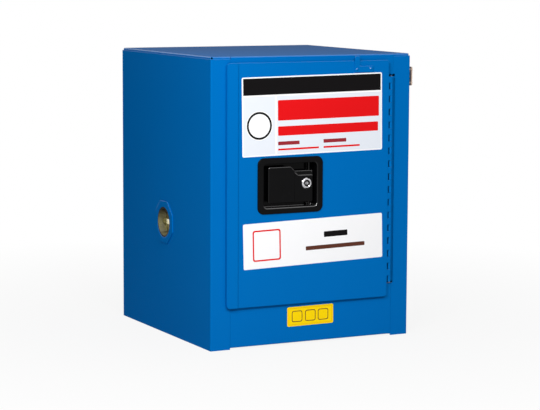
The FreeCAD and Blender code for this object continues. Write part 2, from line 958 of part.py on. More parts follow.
def paddle():
    """The pull: a wide grip, a set-back plate with a pad for the lock, two pivot ears and a finger."""
    grip_left = well_left + grip_side_gap
    top = well_top - grip_top_gap
    bottom = well_bottom + grip_bottom_gap
    split = grip_left + grip_width
    plate_right = pivot_x + plate_past_pivot
    plate_top = top - plate_top_drop
    pad_top = top - pad_top_drop
    lap = split - plate_lap
    grip = rounded(
        [(grip_left, bottom), (split, bottom), (split, plate_top), (split - shoulder_run, top),
         (grip_left, top)],
        [grip_corner, 0, grip_corner, grip_corner, grip_corner],
        "xz", grip_front, grip_front + grip_thickness,
    )
    grip = grip.makeFillet(grip_edge_round, outer_edges(grip, grip_front))
    plate = rounded(
        [(lap, bottom), (plate_right, bottom), (plate_right, plate_top), (lap, plate_top)],
        [0, grip_corner, plate_corner, 0], "xz", plate_front, plate_back,
    )
    plate = plate.makeFillet(plate_edge_round, outer_edges(plate, plate_front))
    pad_front = plate_front - pad_rise
    pad_right = plate_right - pad_rise
    slant_top = pad_top + pad_slant_drop
    pad = rounded(
        [(lap, bottom), (pad_right, bottom), (pad_right, pad_top), (split + pad_slant_run, pad_top),
         (split, slant_top), (lap, slant_top)],
        [0, grip_corner, grip_corner, 0, 0, 0], "xz", pad_front, plate_front + plate_edge_round,
    )
    pad = pad.makeFillet(pad_edge_round, outer_edges(pad, pad_front))
    step = box(
        lap, split - grip_edge_round, grip_front + grip_edge_round, plate_back,
        bottom + grip_corner, plate_top - grip_corner,
    )
    pieces = [grip, plate, pad, step]
    drive_low = drive_z - drive_thickness / 2
    drive_high = drive_z + drive_thickness / 2
    upper_z = dish_z + upper_ear_height_in_dish
    ear_spans = [
        (drive_z - lower_ear / 2, drive_z + lower_ear / 2),
        (upper_z - upper_ear / 2, upper_z + upper_ear / 2),
    ]
    for z0, z1 in ear_spans:
        pieces.append(rod(hub_radius, V(pivot_x, pivot_y, z0), V(pivot_x, pivot_y, z1)))
        root = box(
            pivot_x - hub_radius, pivot_x + hub_radius, plate_front + grip_edge_round, pivot_y, z0, z1
        )
        pieces.append(root)
    tip_y = pivot_y + drive_length
    half_finger = drive_finger / 2
    pieces.append(
        box(pivot_x - half_finger, pivot_x + half_finger, pivot_y, tip_y, drive_low, drive_high)
    )
    pieces.append(rod(drive_tip_radius, V(pivot_x, tip_y, drive_low), V(pivot_x, tip_y, drive_high)))
    whole = joined(pieces)
    whole = whole.cut(
        rod(pivot_radius + pivot_clearance, V(pivot_x, pivot_y, well_bottom),
            V(pivot_x, pivot_y, well_top))
    )
    lock_hole = rod(
        lock_body_radius, V(lock_x, dish_face, lock_z), V(lock_x, plate_back + past, lock_z)
    )
    return whole.cut(lock_hole)


def paddle_pin():
    """The pin the paddle turns on, held in the dish above and below."""
    return rod(
        pivot_radius, V(pivot_x, pivot_y, well_bottom - well_wall),
        V(pivot_x, pivot_y, well_top + well_wall),
    )


def paddle_spring():
    """The torsion spring round the pin, just above the lower ear."""
    start = V(pivot_x, pivot_y, drive_z + lower_ear / 2 + spring_wire)
    return coil(spring_mean_radius, spring_wire, spring_turns, spring_pitch, start, V(0, 0, 1))


# Key lock

def lock_point(y):
    """A point on the lock's axis."""
    return V(lock_x, y, lock_z)


def lock_cylinder():
    """The bright housing of the key lock: a bevelled, dished face and a body through the plate."""
    seat = plate_front - pad_rise
    face_front = seat - lock_face_thickness
    face = rod(lock_face_radius, lock_point(face_front), lock_point(seat))
    face = face.makeChamfer(lock_face_chamfer, outer_edges(face, face_front))
    body = rod(lock_body_radius, lock_point(seat), lock_point(plate_front + lock_body_length))
    dish = Part.makeCone(
        lock_dish_radius, lock_plug_radius + lock_clearance, lock_dish_depth, lock_point(face_front),
        V(0, 1, 0),
    )
    bore = rod(lock_plug_radius + lock_clearance, lock_point(face_front - past), lock_point(cam_front))
    return joined([face, body]).cut(dish).cut(bore)


def lock_nut():
    """The ring nut that holds the lock in the plate."""
    return ring(
        lock_nut_radius, lock_body_radius, lock_point(plate_back),
        lock_point(plate_back + lock_nut_thickness),
    )


def lock_plug():
    """The part that turns with the key, with a keyhole in its face."""
    face = plate_front - pad_rise - lock_face_thickness + lock_dish_depth
    plug = rod(lock_plug_radius, lock_point(face), lock_point(cam_front))
    keyhole = box(
        lock_x - keyhole_width / 2, lock_x + keyhole_width / 2, face - past, face + keyhole_depth,
        lock_z - keyhole_height / 2, lock_z + keyhole_height / 2,
    )
    tail = rod(lock_tail_radius, lock_point(cam_front), lock_point(cam_front + lock_tail_length))
    return joined([plug, tail]).cut(keyhole)


def lock_cam():
    """The flat cam on the plug's tail."""
    half = cam_width / 2
    cam_back = cam_front + cam_thickness
    cam = panel(
        lock_x - half, lock_x + half, lock_z - half, lock_z + cam_length, half - seam, "xz",
        cam_front, cam_back,
    )
    return cam.cut(rod(lock_tail_radius, lock_point(cam_front - past), lock_point(cam_back + past)))


# Rocker and bolt

def rocker():
    """The lever that turns the paddle's leftward push into the bolt's rightward pull."""
    top = rocker_z + rocker_arm_up
    bottom = bolt_z
    half = rocker_half_width
    lever = panel(
        rocker_x - half, rocker_x + half, bottom - half, top + half, half - seam, "xz",
        rocker_front, rocker_back,
    )
    pieces = [lever]
    for z in (top, bottom):
        pieces.append(
            rod(rocker_pin_radius, V(rocker_x, rocker_pin_front, z), V(rocker_x, rocker_front, z))
        )
    whole = joined(pieces)
    return whole.cut(
        rod(rocker_stud_radius + rocker_clearance, V(rocker_x, rocker_front - past, rocker_z),
            V(rocker_x, rocker_back + past, rocker_z))
    )


def latch_bolt():
    """The spring bolt: a round nose at the jamb, a long rod and a slotted flat tail on the rocker."""
    tail_start = rocker_x - bolt_tail_length / 2 - bolt_tail_step
    tail_end = rocker_x + bolt_tail_length / 2
    body = rod(bolt_radius, V(bolt_tip_x, bolt_y, bolt_z), V(tail_start, bolt_y, bolt_z))
    body = body.makeFillet(bolt_nose_round, [tip_edge(body)])
    rise = rocker_arm_down * (1 - math.cos(swing))
    half_height = rocker_pin_radius + rise + bolt_slot_extra
    y0 = bolt_y - bolt_radius + bolt_tail_inset
    tail = panel(
        tail_start - bolt_tail_lap, tail_end, bolt_z - half_height, bolt_z + half_height,
        bolt_tail_corner, "xz", y0, y0 + bolt_tail_thickness,
    )
    slot = panel(
        rocker_x - rocker_pin_radius - bolt_slot_play, rocker_x + rocker_pin_radius + bolt_slot_play,
        bolt_z - rocker_pin_radius - bolt_slot_play, bolt_z + rocker_pin_radius + rise + bolt_slot_play,
        rocker_pin_radius, "xz", y0 - past, y0 + bolt_tail_thickness + past,
    )
    return joined([body, tail]).cut(slot)


def tip_edge(shape):
    """The round edge at the bolt's left end."""
    for edge in shape.Edges:
        if edge.BoundBox.XLength < 1e-6 and abs(edge.BoundBox.XMin - bolt_tip_x) < 1e-6:
            return edge


def bolt_collar():
    """The collar on the bolt that its spring pushes on."""
    start = V(bolt_collar_x, bolt_y, bolt_z)
    return ring(bolt_collar_radius, bolt_radius, start, start + V(bolt_collar_thickness, 0, 0))


def bolt_spring():
    """The compression spring between the collar and the bracket."""
    start_x = bolt_collar_x + bolt_collar_thickness + bolt_spring_wire / 2
    free = bolt_bracket_x - bolt_spring_wire / 2 - start_x
    return coil(
        bolt_spring_mean_radius, bolt_spring_wire, bolt_spring_turns, free / bolt_spring_turns,
        V(start_x, bolt_y, bolt_z), V(1, 0, 0),
    )


def bolt_bracket():
    """The angle on the inner door sheet that the bolt slides through and its spring pushes against."""
    x0 = bolt_bracket_x
    floor = tray_back - sheet
    height = 2 * bolt_collar_radius + bolt_bracket_margin
    path = [
        (x0 + half_sheet, bolt_y - bolt_radius - bolt_bracket_margin),
        (x0 + half_sheet, floor - half_sheet), (x0 + height, floor - half_sheet),
    ]
    angle = folded(path, "xy", bolt_z - height / 2, bolt_z + height / 2)
    hole = rod(
        bolt_radius + bolt_clearance, V(x0 - past, bolt_y, bolt_z), V(x0 + sheet + past, bolt_y, bolt_z)
    )
    return angle.cut(hole)


def bolt_bush():
    """The flanged bush in the door's edge that guides the bolt."""
    start = tray_left - bush_flange
    flange = rod(bush_flange_radius, V(start, bolt_y, bolt_z), V(tray_left, bolt_y, bolt_z))
    body = rod(bush_radius, V(tray_left, bolt_y, bolt_z), V(tray_left + bush_length, bolt_y, bolt_z))
    bore = rod(
        bolt_radius + bolt_clearance, V(start - past, bolt_y, bolt_z),
        V(tray_left + bush_length + past, bolt_y, bolt_z),
    )
    return joined([flange, body]).cut(bore)


def strike_screws_at():
    """The two screws of the strike."""
    reach = strike_height / 2 - strike_screw_inset
    return [V(jamb_left, bolt_y, bolt_z + s * reach) for s in (-1, 1)]


def strike_screw(spot):
    """One flush screw, or the hole it fills."""
    return Part.makeCone(strike_screw_neck, strike_screw_head, strike_thickness, spot, V(1, 0, 0))


def strike_plate():
    """The plate on the left jamb that the bolt runs into."""
    plate = panel(
        bolt_y - strike_depth / 2, bolt_y + strike_depth / 2, bolt_z - strike_height / 2,
        bolt_z + strike_height / 2, strike_corner, "yz", jamb_left, jamb_left + strike_thickness,
    )
    hole = rod(
        strike_hole_radius, V(jamb_left - past, bolt_y, bolt_z),
        V(jamb_left + strike_thickness + past, bolt_y, bolt_z),
    )
    plate = plate.cut(hole)
    for spot in strike_screws_at():
        plate = plate.cut(strike_screw(spot))
    return plate


def strike_screws():
    """Two flush screws."""
    return Part.makeCompound([strike_screw(spot) for spot in strike_screws_at()])


# Side vents

def vent_tube_end(side):
    """How deep the vent's tube reaches, measured from the side of the shell."""
    liner_outer = jamb_left - sheet if side < 0 else jamb_right + sheet
    return shell_width / 2 - abs(liner_outer)


def vent_flange_and_tube(side):
    """The painted flange with many flats, a tube through the hollow wall and a gasket shoulder."""
    plate_low = side * (shell_width / 2)
    plate_high = side * (shell_width / 2 + vent_flange)
    half_turn = math.pi / vent_sides
    reach = vent_flats / 2 / math.cos(half_turn)
    points = []
    for i in range(vent_sides):
        turn = half_turn * (2 * i + 1)
        points.append((reach * math.cos(turn), vent_height + reach * math.sin(turn)))
    low, high = sorted((plate_low, plate_high))
    plate = rounded(points, [vent_corner] * vent_sides, "yz", low, high)
    end = vent_tube_end(side)
    tube = rod(vent_tube_radius, vent_axis(side, 0), vent_axis(side, end))
    whole = joined([plate, tube])
    whole = whole.cut(
        rod(vent_bore_radius, vent_axis(side, -vent_flange - past), vent_axis(side, vent_shoulder_depth))
    )
    whole = whole.cut(rod(vent_shoulder_radius, vent_axis(side, 0), vent_axis(side, end + past)))
    far = vent_shoulder_depth + vent_shoulder
    return whole.cut(rod(vent_bore_radius, vent_axis(side, far), vent_axis(side, end + past)))


def vent_screen(side):
    """The perforated flame arrester at the inner end of the vent."""
    end = vent_tube_end(side)
    disc = rod(vent_bore_radius, vent_axis(side, end - screen_thickness), vent_axis(side, end))
    reach = vent_bore_radius - screen_hole_radius - screen_rim
    rows = int(reach // (screen_hole_pitch * math.sqrt(3) / 2))
    for row in range(-rows, rows + 1):
        v = row * screen_hole_pitch * math.sqrt(3) / 2
        shift = screen_hole_pitch / 2 * (row % 2)
        columns = int(reach // screen_hole_pitch) + 1
        for column in range(-columns, columns + 1):
            u = column * screen_hole_pitch + shift
            if math.hypot(u, v) < reach:
                spot = V(0, u, v)
                hole = rod(
                    screen_hole_radius, vent_axis(side, end - 2 * screen_thickness) + spot,
                    vent_axis(side, end + screen_thickness) + spot,
                )
                disc = disc.cut(hole)
    return disc


def vent_plug(side):
    """The yellow-plated screw plug: a cup with a bar across its floor."""
    rim = -vent_flange + plug_recess
    floor = plug_floor_depth
    cup = rod(plug_radius, vent_axis(side, rim), vent_axis(side, floor + plug_floor))
    inner_radius = plug_radius - plug_wall
    cup = cup.cut(rod(inner_radius, vent_axis(side, rim - past), vent_axis(side, floor)))
    bar_x = sorted((vent_axis(side, floor - plug_bar_height).x, vent_axis(side, floor).x))
    half = plug_bar_width / 2
    bar = box(
        bar_x[0], bar_x[1], -inner_radius, inner_radius, vent_height - half, vent_height + half
    )
    keep = rod(inner_radius + plug_bar_bite, vent_axis(side, 0), vent_axis(side, floor))
    return joined([cup, bar.common(keep)])


def vent_gasket(side):
    """The rubber ring under the plug."""
    start = plug_floor_depth + plug_floor
    end = vent_shoulder_depth - gasket_gap
    return ring(
        plug_radius - gasket_side_gap, vent_shoulder_radius + gasket_side_gap,
        vent_axis(side, start), vent_axis(side, end),
    )


# Fusible link on the right side, bracket on the door

def link_places():
    """The two posts of the fusible link."""
    y = front + link_from_front
    return [(y, link_height + s * link_screw_spread / 2) for s in (-1, 1)]


def link_posts():
    """Two round posts that hold the link off the side."""
    posts = []
    for y, z in link_places():
        post = ring(
            link_post_radius, link_screw_radius, V(right, y, z), V(right + link_stand_off, y, z)
        )
        posts.append(post)
    return Part.makeCompound(posts)


def fusible_link():
    """The brass link: two lapped plates with a soldered boss between the screws."""
    y = front + link_from_front
    x0 = right + link_stand_off
    plate = panel(
        y - link_width / 2, y + link_width / 2, link_height - link_length / 2,
        link_height + link_length / 2, link_corner, "yz", x0, x0 + link_plate,
    )
    boss = Part.makeCone(
        link_boss_radius, link_boss_top, link_boss_height, V(x0 + link_plate, y, link_height), V(1, 0, 0)
    )
    whole = joined([plate, boss])
    for hole_y, z in link_places():
        hole = rod(link_screw_radius, V(x0 - past, hole_y, z), V(x0 + link_plate + past, hole_y, z))
        whole = whole.cut(hole)
    return whole


def link_screws():
    """Two round-headed screws."""
    screws = []
    for y, z in link_places():
        x1 = right + link_stand_off + link_plate
        shank = rod(link_screw_radius, V(right, y, z), V(x1, y, z))
        head = rod(link_screw_head, V(x1, y, z), V(x1 + link_screw_head_height, y, z))
        screws.append(joined([shank, head]))
    return Part.makeCompound(screws)


def rivet_places():
    """The two rivets in the foot of the door's bracket."""
    z = bracket_bottom + bracket_foot_height / 2
    first = bracket_left + bracket_arm_width / 2
    second = bracket_left + bracket_foot - rivet_from_foot_end
    return [(first, z), (second, z)]


def door_bracket():
    """The L-shaped catch bracket at the top of the door, whose arm stands up in front of the header."""
    x0 = bracket_left
    foot_top = bracket_bottom + bracket_foot_height
    arm_right = x0 + bracket_arm_width
    points = [
        (x0, bracket_bottom), (x0 + bracket_foot, bracket_bottom), (x0 + bracket_foot, foot_top),
        (arm_right, foot_top), (arm_right, bracket_top), (x0, bracket_top),
    ]
    arm_round = bracket_arm_width / 2 - bracket_arm_flat
    radii = [bracket_corner] * 3 + [bracket_inner_corner, arm_round, arm_round]
    plate = rounded(points, radii, "xz", door_front - bracket_plate, door_front)
    for x, z in rivet_places():
        plate = plate.cut(rod(rivet_radius, V(x, door_front - 2 * bracket_plate, z), V(x, door_front, z)))
    return plate


def bracket_rivets():
    """Two domed rivets."""
    rivets = []
    for x, z in rivet_places():
        face = door_front - bracket_plate
        shank = rod(rivet_radius, V(x, face, z), V(x, door_front + sheet, z))
        head = Part.makeCone(
            rivet_head_radius, rivet_head_top, rivet_head_height, V(x, face, z), V(0, -1, 0)
        )
        tail_start = V(x, door_front + sheet, z)
        tail = rod(rivet_tail_radius, tail_start, tail_start + V(0, rivet_tail_height, 0))
        rivets.append(joined([shank, head, tail]))
    return Part.makeCompound(rivets)


# Stickers

def sticker(size, centre, tilt, face):
    """A thin plate with round corners, stuck on a vertical face and turned a little."""
    half_w = size[0] / 2
    half_h = size[1] / 2
    plate = panel(
        centre[0] - half_w, centre[0] + half_w, centre[1] - half_h, centre[1] + half_h,
        sticker_corner, "xz", face - sticker_thickness, face,
    )
    plate.rotate(V(centre[0], face, centre[1]), V(0, -1, 0), tilt)
    return plate


# Earth stud

def earth_point(y):
    """A point on the earth stud's axis."""
    return V(right - earth_from_side, y, earth_height)


def earth_nut_span():
    """Where the nut starts and ends along the stud."""
    start = back - sheet + earth_washer
    return start, start + earth_nut


def earth_stud():
    """A bolt through the outer back: a head in the wall, a neck under the nut, then free thread."""
    inner = back - 2 * sheet
    neck_end = earth_nut_span()[1] + earth_neck_past_nut
    spot = (right - earth_from_side, earth_height)
    head = hexagon(earth_flats, "xz", spot, inner - earth_head, inner)
    neck = rod(earth_neck_radius, earth_point(inner), earth_point(neck_end))
    thread = rod(earth_radius, earth_point(neck_end), earth_point(neck_end + earth_free_length))
    return joined([head, neck, thread])


def earth_washer_ring():
    """The washer under the nut."""
    start = back - sheet
    end = start + earth_washer
    return ring(earth_washer_radius, earth_neck_radius, earth_point(start), earth_point(end))


def earth_nut_ring():
    """The nut on the earth stud."""
    start, end = earth_nut_span()
    nut = hexagon(earth_flats, "xz", (right - earth_from_side, earth_height), start, end)
    return nut.cut(rod(earth_neck_radius, earth_point(start - past), earth_point(end + past)))


def parts():
    """Every piece, by name."""
    made = {
        "side_panel_left": side_panel(-1),
        "side_panel_right": side_panel(1),
        "top_panel": top_panel(),
        "kick_panel": kick_panel(),
        "back_panel": back_panel(),
        "base_panel": base_panel(),
        "liner_left": liner_side(-1),
        "liner_right": liner_side(1),
        "liner_back": liner_back_panel(),
        "liner_top": liner_top_panel(),
        "sump_pan": sump_pan(),
        "shelf": shelf(),
        "shelf_uprights": shelf_uprights(),
        "shelf_clips": shelf_clips(),
        "hinge_frame_leaf": hinge_frame_leaf(),
        "hinge_door_leaf": hinge_door_leaf(),
        "hinge_pin": hinge_pin(),
        "door_skin": door_skin(),
        "door_inner_pan": door_inner_pan(),
        "latch_dish": latch_dish(),
        "dish_nuts": dish_nuts(),
        "paddle": paddle(),
        "paddle_pin": paddle_pin(),
        "paddle_spring": paddle_spring(),
        "lock_cylinder": lock_cylinder(),
        "lock_nut": lock_nut(),
        "lock_plug": lock_plug(),
        "lock_cam": lock_cam(),
        "rocker": rocker(),
        "rocker_clip": rocker_clip(),
        "latch_bolt": latch_bolt(),
        "bolt_collar": bolt_collar(),
        "bolt_spring": bolt_spring(),
        "bolt_bracket": bolt_bracket(),
        "bolt_bush": bolt_bush(),
        "strike_plate": strike_plate(),
        "strike_screws": strike_screws(),
        "link_posts": link_posts(),
        "fusible_link": fusible_link(),
        "link_screws": link_screws(),
        "door_bracket": door_bracket(),
        "bracket_rivets": bracket_rivets(),
        "upper_sticker": sticker(upper_sticker, upper_sticker_centre, upper_sticker_tilt, door_front),
        "lower_sticker": sticker(lower_sticker, lower_sticker_centre, lower_sticker_tilt, door_front),
        "kick_sticker": sticker(kick_sticker, kick_sticker_centre, kick_sticker_tilt, front),
        "earth_stud": earth_stud(),
        "earth_washer": earth_washer_ring(),
        "earth_nut": earth_nut_ring(),
    }
    for name, side in (("left", -1), ("right", 1)):
        made["vent_flange_" + name] = vent_flange_and_tube(side)
        made["vent_screen_" + name] = vent_screen(side)
        made["vent_plug_" + name] = vent_plug(side)
        made["vent_gasket_" + name] = vent_gasket(side)
    return made


os.makedirs("parts", exist_ok=True)
for name, shape in parts().items():
    solids = len(shape.Solids)
    print(name, solids, "valid" if shape.isValid() else "NOT VALID", round(shape.Volume, 1))
    shape.exportStep("parts/" + name + ".step")
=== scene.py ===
# %% [markdown]
# # A countertop safety cabinet
# This lesson dresses a steel cabinet for hazardous liquids. The exact shapes of its
# sheets, hinge, latch and vents come ready-made from a CAD model, already in metres and
# in their places. What is left for Blender is the surface: baked paint, plated steel,
# rubber, printed vinyl, and then the light and the camera.

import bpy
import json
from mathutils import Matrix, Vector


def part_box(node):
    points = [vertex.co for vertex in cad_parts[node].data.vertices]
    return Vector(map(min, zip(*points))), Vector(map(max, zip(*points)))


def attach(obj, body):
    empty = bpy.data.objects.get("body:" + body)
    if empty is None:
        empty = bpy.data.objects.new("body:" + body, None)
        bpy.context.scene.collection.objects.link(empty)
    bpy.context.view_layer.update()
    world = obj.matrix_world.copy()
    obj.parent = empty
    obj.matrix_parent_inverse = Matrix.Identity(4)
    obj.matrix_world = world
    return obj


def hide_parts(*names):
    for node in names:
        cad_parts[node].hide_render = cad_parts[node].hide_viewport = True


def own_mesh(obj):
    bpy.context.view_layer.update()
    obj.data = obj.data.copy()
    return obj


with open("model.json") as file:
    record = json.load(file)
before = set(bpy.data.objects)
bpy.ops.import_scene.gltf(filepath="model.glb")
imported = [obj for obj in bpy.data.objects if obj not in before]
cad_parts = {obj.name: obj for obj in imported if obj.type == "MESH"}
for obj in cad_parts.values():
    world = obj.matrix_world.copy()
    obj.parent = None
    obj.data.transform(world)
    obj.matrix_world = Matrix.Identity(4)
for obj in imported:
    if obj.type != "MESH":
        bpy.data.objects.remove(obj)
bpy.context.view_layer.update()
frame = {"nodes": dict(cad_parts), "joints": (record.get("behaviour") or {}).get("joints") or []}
print("pieces from CAD:", len(frame["nodes"]))

# %% Other modules
import json
import math

import bmesh
import bpy
from mathutils import Matrix, Vector
from mathutils.geometry import delaunay_2d_cdt

print("Blender", bpy.app.version_string)

# %% [markdown]
# ## A small language for shaders
# A finish is a graph of nodes. Written call by call, a formula such as
# "one minus the mask, times a half" becomes unreadable. So one small class wraps a
# socket and lets Python's own operators add the Math nodes. A second class holds one
# material and has a single method that adds any other kind of node.

# %% A socket that can be used in an expression
class Wire:
    """One output socket of a graph, which can stand in a Python expression."""

    def __init__(self, graph, socket):
        self.graph = graph
        self.socket = socket

    def math(self, operation, first, second):
        return self.graph.add("ShaderNodeMath", {"operation": operation}, {0: first, 1: second})

    def __add__(self, other):
        return self.math("ADD", self, other)

    def __sub__(self, other):
        return self.math("SUBTRACT", self, other)

    def __rsub__(self, other):
        return self.math("SUBTRACT", other, self)

    def __mul__(self, other):
        return self.math("MULTIPLY", self, other)

    def __truediv__(self, other):
        return self.math("DIVIDE", self, other)

    def __rtruediv__(self, other):
        return self.math("DIVIDE", other, self)

    def __gt__(self, other):
        return self.math("GREATER_THAN", self, other)

    __radd__ = __add__
    __rmul__ = __mul__


print("a formula on a Wire adds its own Math nodes")

# %% A graph of nodes with one way to add any node
MIX_FACTOR, MIX_FIRST, MIX_SECOND, MIX_COLOUR = 0, 6, 7, 2  # the colour sockets of a Mix node
BEVEL_SAMPLES = 6


class Graph:
    """A node tree under construction."""

    def __init__(self, tree):
        self.tree = tree

    def add(self, kind, settings=None, values=None, output=0):
        """Adds a node: its settings first, then a value or a link for each socket."""
        node = self.tree.nodes.new(kind)
        for key, value in (settings or {}).items():
            setattr(node, key, value)
        for socket, value in (values or {}).items():
            self.feed(node.inputs[socket], value)
        return Wire(self, node.outputs[output])

    def feed(self, socket, value):
        if isinstance(value, Wire):
            self.tree.links.new(value.socket, socket)
        else:
            socket.default_value = value

    def clamp(self, value):
        """A value held between 0 and 1."""
        return self.add("ShaderNodeClamp", values={"Value": value})

    def place(self):
        """Position on the object, in metres."""
        return self.add("ShaderNodeTexCoord", output="Object")

    def distance(self, middle, flatten=(1, 1, 1)):
        """How far a point lies from the middle, along the axes that flatten leaves in."""
        offset = self.add("ShaderNodeVectorMath", {"operation": "SUBTRACT"}, {0: self.place(), 1: middle})
        across = self.add("ShaderNodeVectorMath", {"operation": "MULTIPLY"}, {0: offset, 1: flatten})
        return self.add("ShaderNodeVectorMath", {"operation": "LENGTH"}, {0: across}, "Value")

    def noise(self, scale, detail=2.0, stretch=None):
        """Cloudy noise from 0 to 1, with about this many clouds per metre."""
        where = self.place()
        if stretch:
            where = self.add("ShaderNodeVectorMath", {"operation": "MULTIPLY"}, {0: where, 1: stretch})
        return self.add("ShaderNodeTexNoise", values={"Vector": where, "Scale": scale, "Detail": detail})

    def blend(self, factor, first, second):
        """A colour between two colours."""
        values = {MIX_FACTOR: factor, MIX_FIRST: first, MIX_SECOND: second}
        return self.add("ShaderNodeMix", {"data_type": "RGBA"}, values, MIX_COLOUR)

    def seen_directly(self):
        """1 for the rays of the camera and for those that a mirror or glass passes on."""
        camera = self.add("ShaderNodeLightPath", output="Is Camera Ray")
        glossy = self.add("ShaderNodeLightPath", output="Is Glossy Ray")
        through = self.add("ShaderNodeLightPath", output="Is Transmission Ray")
        return self.clamp(camera + glossy + through)


print("a Graph adds any node with one call")

# %% A finish: one material
SOCKETS = {
    "metallic": "Metallic", "roughness": "Roughness", "specular": "Specular IOR Level",
    "coat": "Coat Weight", "coat_roughness": "Coat Roughness", "coat_ior": "Coat IOR",
}


class Finish(Graph):
    """A material under construction. Values that are the same all over go straight onto its shader."""

    def __init__(self, name, **plain):
        self.material = bpy.data.materials.new(name)
        self.material.use_nodes = True
        super().__init__(self.material.node_tree)
        self.shader = self.tree.nodes["Principled BSDF"]
        for socket, value in plain.items():
            self.shader.inputs[SOCKETS[socket]].default_value = value

    def use(self, socket, value):
        """Feeds one socket of the shader."""
        self.feed(self.shader.inputs[socket], value)

    def lean(self, radius, axis="Z", way=1):
        """How far the surface turns upwards, or along another axis, with its edges rounded by a radius."""
        return self.clamp(self.along(axis, self.rounded(radius)) * way)

    def rounded(self, radius):
        """The surface's direction, with its sharp edges rounded by a radius."""
        return self.add("ShaderNodeBevel", {"samples": BEVEL_SAMPLES}, {"Radius": radius})

    def along(self, axis, vector):
        """One part of a vector, X, Y or Z."""
        return self.add("ShaderNodeSeparateXYZ", values={0: vector}, output=axis)

    def within(self, middle, half, axis):
        """1 where a point lies less than half a width from the middle along one axis."""
        offset = self.along(axis, self.place()) - middle
        return (half - offset) * (half + offset) > 0

    def relief(self, height, depth, edge=0.0):
        """Bumps the surface, and rounds its sharp edges by a small radius."""
        values = {"Height": height, "Distance": depth}
        if edge:
            values["Normal"] = self.rounded(edge)
        self.use("Normal", self.add("ShaderNodeBump", values=values))


print("shader helpers ready")


# %% Colours, written as they look
def shade(red, green, blue, gain=1.0):
    """A display colour from 0 to 255, turned into the linear colour that a shader takes."""
    linear = []
    for level in (red, green, blue):
        part = level / 255
        part = part / 12.92 if part <= 0.04045 else ((part + 0.055) / 1.055) ** 2.4
        linear.append(min(1.0, part * gain))
    return (*linear, 1.0)


def toned(colour, gain):
    """A linear colour made a little darker or lighter."""
    return (*(min(1.0, part * gain) for part in colour[:3]), 1.0)


print("cabinet blue is", [round(v, 3) for v in shade(0, 108, 181)])

# %% [markdown]
# ## Baked powder paint
# The sheets are sprayed with dry powder and baked. The paint flows almost level, but
# keeps a faint orange peel about a millimetre across, and it draws back a little from
# sharp edges, so that a cut edge looks softly rounded. An image of such paint would
# repeat and blur. Noise in metres does not, and a bevel in the shader rounds every
# edge of a sheet without a change to its mesh.

# %% Powder paint
PAINT_DRIFT = 0.035         # how far the tone drifts each way
PAINT_PEEL = 780.0          # dimples of the orange peel per metre
PAINT_WAVES = 170.0         # slower waves per metre
PEEL_DEPTH = 0.00001
SHINING_EDGE = 0.0012       # radius over which an edge shines
PAINT_EDGE = 0.0006         # radius to which paint rounds an edge


def powder_paint(name, colour, roughness, shine=3.6):
    """Satin paint with orange peel, slow changes of tone, and edges that shine where they turn up."""
    finish = Finish(name, specular=0.0, coat_roughness=0.20, coat_ior=2.0)
    drift = finish.noise(3.5, 3.0)
    dark, light = toned(colour, 1 - PAINT_DRIFT), toned(colour, 1 + PAINT_DRIFT)
    finish.use("Base Color", finish.blend(drift, dark, light))
    fine, slow = finish.noise(420.0), finish.noise(9.0)
    finish.use("Roughness", fine * 0.10 + slow * 0.06 + (roughness - 0.08))
    rise = finish.lean(SHINING_EDGE)
    finish.use("Coat Weight", finish.clamp(rise * (1 - rise) * shine + rise * 0.10 + 0.012))
    peel = finish.noise(PAINT_PEEL, 1.0) + finish.noise(PAINT_WAVES, 1.0)
    finish.relief(peel, PEEL_DEPTH, edge=PAINT_EDGE)
    return finish.material


cabinet_paint = powder_paint("cabinet_paint", shade(0, 105, 181), 0.42)
hinge_paint = powder_paint("hinge_paint", shade(0, 105, 181), 0.42, shine=0.5)
liner_paint = powder_paint("liner_paint", shade(0, 104, 176), 0.46, shine=1.0)
print("made", cabinet_paint.name, hinge_paint.name, liner_paint.name)

# %% [markdown]
# ## Textured black paint
# The latch is die-made and painted black. Its flat faces are dull with a fine leathery
# grain, which cell noise under the bump gives. On the edges the paint has flowed thin
# and smooth, so they catch the light as bright lines. A bevel node tells how far the
# surface turns upwards, and that is the weight of a glossy coat. The outer rim of the
# latch is left dull, as it is flat and well covered.

# %% Black latch paint
def grained_black(name):
    """Black with a fine grain, dull on its faces and glossy where an edge turns upwards."""
    rim_width = 0.008
    cells_per_metre = 1500.0
    grain_depth = 0.000006
    finish = Finish(name, specular=0.0, coat_roughness=0.10, coat_ior=2.4)
    finish.use("Base Color", finish.blend(finish.noise(30.0), shade(5, 5, 6), shade(9, 9, 10)))
    finish.use("Roughness", finish.noise(900.0) * 0.14 + 0.25)
    where = {"Vector": finish.place(), "Scale": cells_per_metre}
    cells = finish.add("ShaderNodeTexVoronoi", {"feature": "SMOOTH_F1"}, where)
    low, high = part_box("latch_dish")
    middle, half = (low + high) / 2, (high - low) / 2
    inner_x = finish.within(middle.x, half.x - rim_width, "X")
    inner_z = finish.within(middle.z, half.z - rim_width, "Z")
    left = finish.lean(0.0014, "X", -1)
    edges = finish.clamp(finish.lean(0.0016) * 3.0 - 0.25) + left * (1 - left) * 0.35
    finish.use("Coat Weight", finish.clamp(edges * (inner_x * inner_z) + 0.035))
    finish.relief(cells + finish.noise(2600.0, 1.0) * 0.5, grain_depth, edge=0.0012)
    return finish.material


latch_black = grained_black("latch_black")
print("made", latch_black.name)

# %% [markdown]
# ## Plated and bare metals
# Zinc plate is a grey mirror that has been blurred by fine handling marks, and the
# fusible link is brass with a worn coat of tin. All are one recipe: a metal whose
# colour and roughness follow two noises.

# %% Metals
POLISH_SCALE = 500.0        # fine marks per metre
POLISH_SPREAD = 0.16        # how far they spread the roughness
MARK_DEPTH = 0.000004


